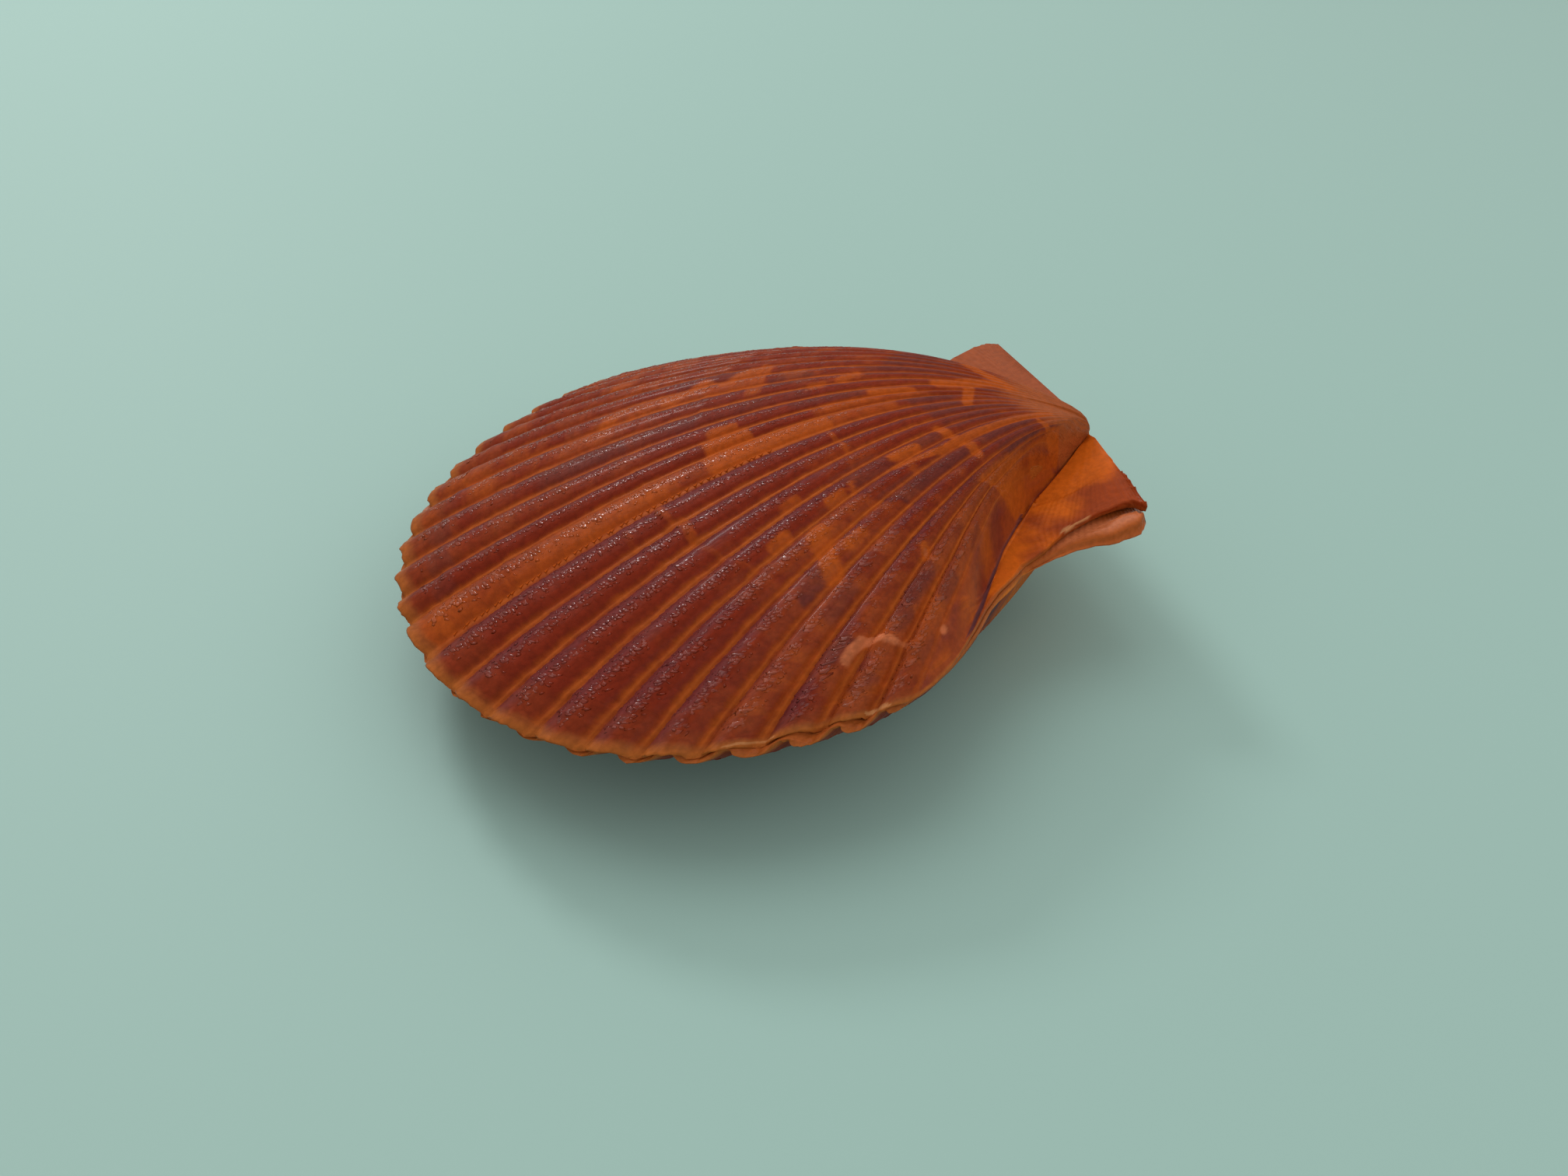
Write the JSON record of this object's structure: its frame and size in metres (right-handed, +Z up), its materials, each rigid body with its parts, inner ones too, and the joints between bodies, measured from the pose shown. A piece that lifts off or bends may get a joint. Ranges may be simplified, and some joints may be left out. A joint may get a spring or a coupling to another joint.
{
  "type": "closed scallop shell",
  "caption": "Closed fan-shaped scallop shell: two ribbed, domed valves with ears along a straight hinge, joined by a thin dried ligament. It rests on its lower valve.",
  "frame": {"origin": "on the surface that the shell rests on, below the middle of its box", "axes": "+X from the far margin towards the beak and hinge, +Y along the hinge towards the long front ears, +Z up from the right valve to the left valve"},
  "size_m": [0.0752, 0.0726, 0.0259],
  "materials": {
    "shell_left": "satin calcite, maroon ribs with orange-brown grooves and blotches, cream at the lip",
    "shell_right": "satin calcite, dark maroon ribs with orange grooves, glossy pink-orange inside the ear",
    "ligament": "dry, matt, dark brown"
  },
  "bodies": {
    "root": {"left_valve": "shell_left", "right_valve": "shell_right", "ligament": "ligament"}
  },
  "joints": []
}
